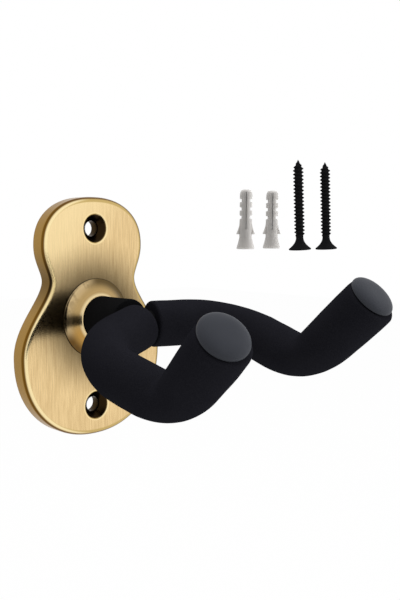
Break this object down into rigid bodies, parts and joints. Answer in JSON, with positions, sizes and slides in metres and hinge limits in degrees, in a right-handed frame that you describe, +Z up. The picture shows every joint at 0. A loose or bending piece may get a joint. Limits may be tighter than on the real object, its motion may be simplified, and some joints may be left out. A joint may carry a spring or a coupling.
{
  "type": "wall guitar hanger",
  "caption": "Wall guitar hanger: a guitar-shaped brushed brass plate carries a swivelling foam-covered yoke that holds an instrument under its headstock, with loose screws and plugs.",
  "frame": {"origin": "on the swivel axis at the wall plane, midway between the two screw holes", "axes": "+Z up the wall, -Y out from the wall towards the instrument, +X to the right as seen from the room"},
  "size_m": [0.2037, 0.117, 0.1173],
  "materials": {
    "brushed_brass": "brushed",
    "nylon": "matte",
    "plain_steel": "zinc plated",
    "black_steel": "satin black",
    "black_foam": "matte foam",
    "grey_plastic": "satin",
    "pale_nylon": "matte"
  },
  "bodies": {
    "wall_mount": {"wall_plate": "brushed_brass", "boss_collar": "brushed_brass", "swivel_bushing": "nylon", "wall_screws": "black_steel", "wall_plugs": "pale_nylon"},
    "yoke": {"swivel_post": "black_steel", "flat_washer": "plain_steel", "spring_washer": "plain_steel", "lock_nut": "plain_steel", "yoke_bar": "black_steel", "post_sleeve": "black_foam", "left_arm_sleeve": "black_foam", "right_arm_sleeve": "black_foam", "left_end_cap": "grey_plastic", "right_end_cap": "grey_plastic"}
  },
  "joints": [
    {"name": "yoke_swivel", "type": "hinge", "parent": "wall_mount", "child": "yoke", "pos_m": [0, 0, 0], "axis": [0, -1, 0], "continuous": true}
  ]
}
